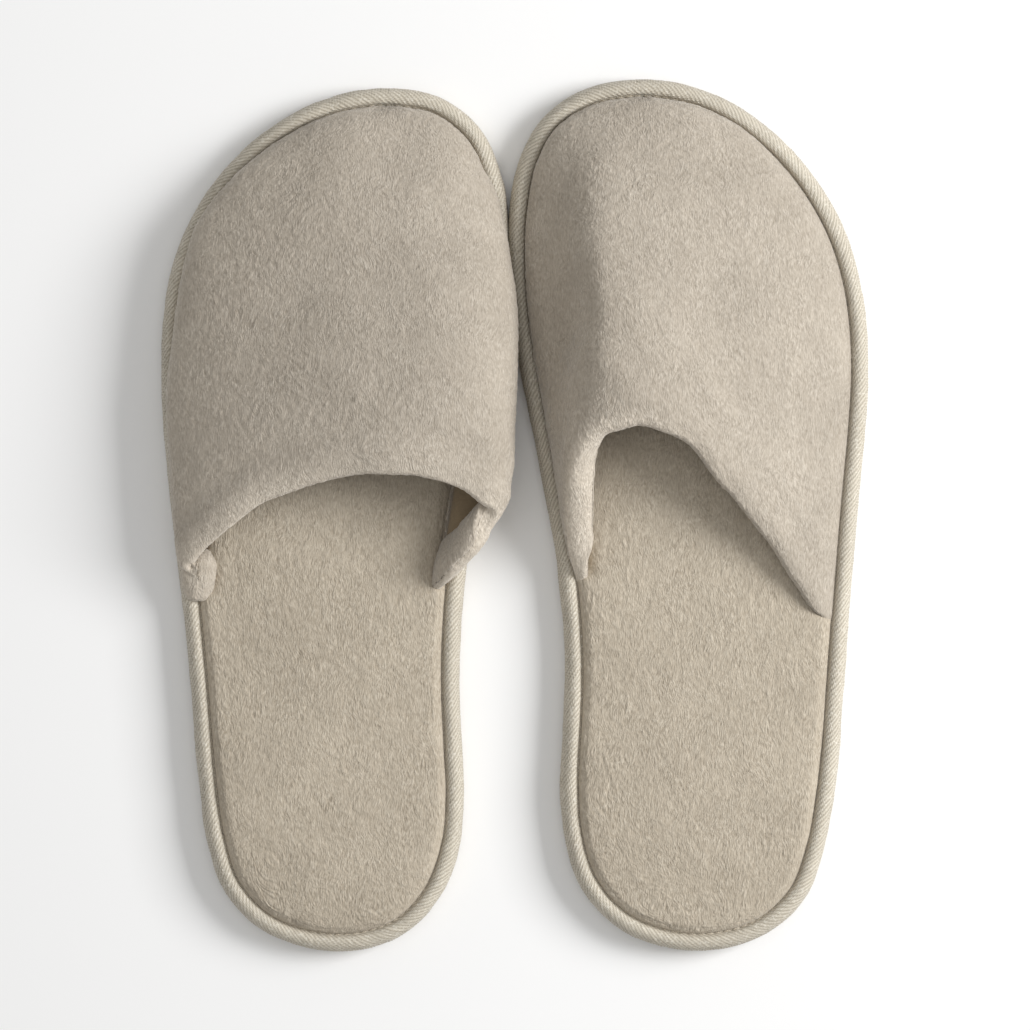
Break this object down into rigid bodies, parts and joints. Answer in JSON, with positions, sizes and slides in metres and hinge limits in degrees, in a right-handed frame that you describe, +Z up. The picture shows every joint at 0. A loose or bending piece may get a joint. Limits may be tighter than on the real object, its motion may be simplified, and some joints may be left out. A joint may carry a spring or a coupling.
{
  "type": "pair of plush spa slippers",
  "caption": "Pair of closed-toe, open-back plush spa slippers with puffy insoles, padded uppers that stand open, and a ribbed woven binding tape round each sole edge.",
  "frame": {"origin": "centre of the pair's footprint, on the surface the soles rest on", "axes": "+Z up, +Y towards the toes, +X towards the right slipper"},
  "size_m": [0.2327, 0.2869, 0.0437],
  "materials": {
    "plush": "warm beige short-pile plush with patchy nap",
    "binding_weave": "slightly shiny diagonally ribbed woven tape",
    "lining_cloth": "smooth matt brushed cloth",
    "padding_foam": "open-cell soft foam",
    "backing_board": "matt non-woven board",
    "outsole_foam": "matt foamed sheet with a non-slip tread",
    "thread": "twisted sewing thread"
  },
  "bodies": {
    "left_slipper": {"left_outsole": "outsole_foam", "left_insole_backing": "backing_board", "left_insole_padding": "padding_foam", "left_insole_cover": "plush", "left_upper_cover": "plush", "left_upper_padding": "padding_foam", "left_upper_lining": "lining_cloth", "left_binding_tape": "binding_weave", "left_binding_needle_thread": "thread", "left_binding_bobbin_thread": "thread", "left_facing_thread": "thread"},
    "right_slipper": {"right_outsole": "outsole_foam", "right_insole_backing": "backing_board", "right_insole_padding": "padding_foam", "right_insole_cover": "plush", "right_upper_cover": "plush", "right_upper_padding": "padding_foam", "right_upper_lining": "lining_cloth", "right_binding_tape": "binding_weave", "right_binding_needle_thread": "thread", "right_binding_bobbin_thread": "thread", "right_facing_thread": "thread"}
  },
  "joints": [
    {"name": "right_slipper_apart", "type": "slide", "parent": "left_slipper", "child": "right_slipper", "axis": [1, 0, 0], "range_m": [0, 0.15]}
  ]
}
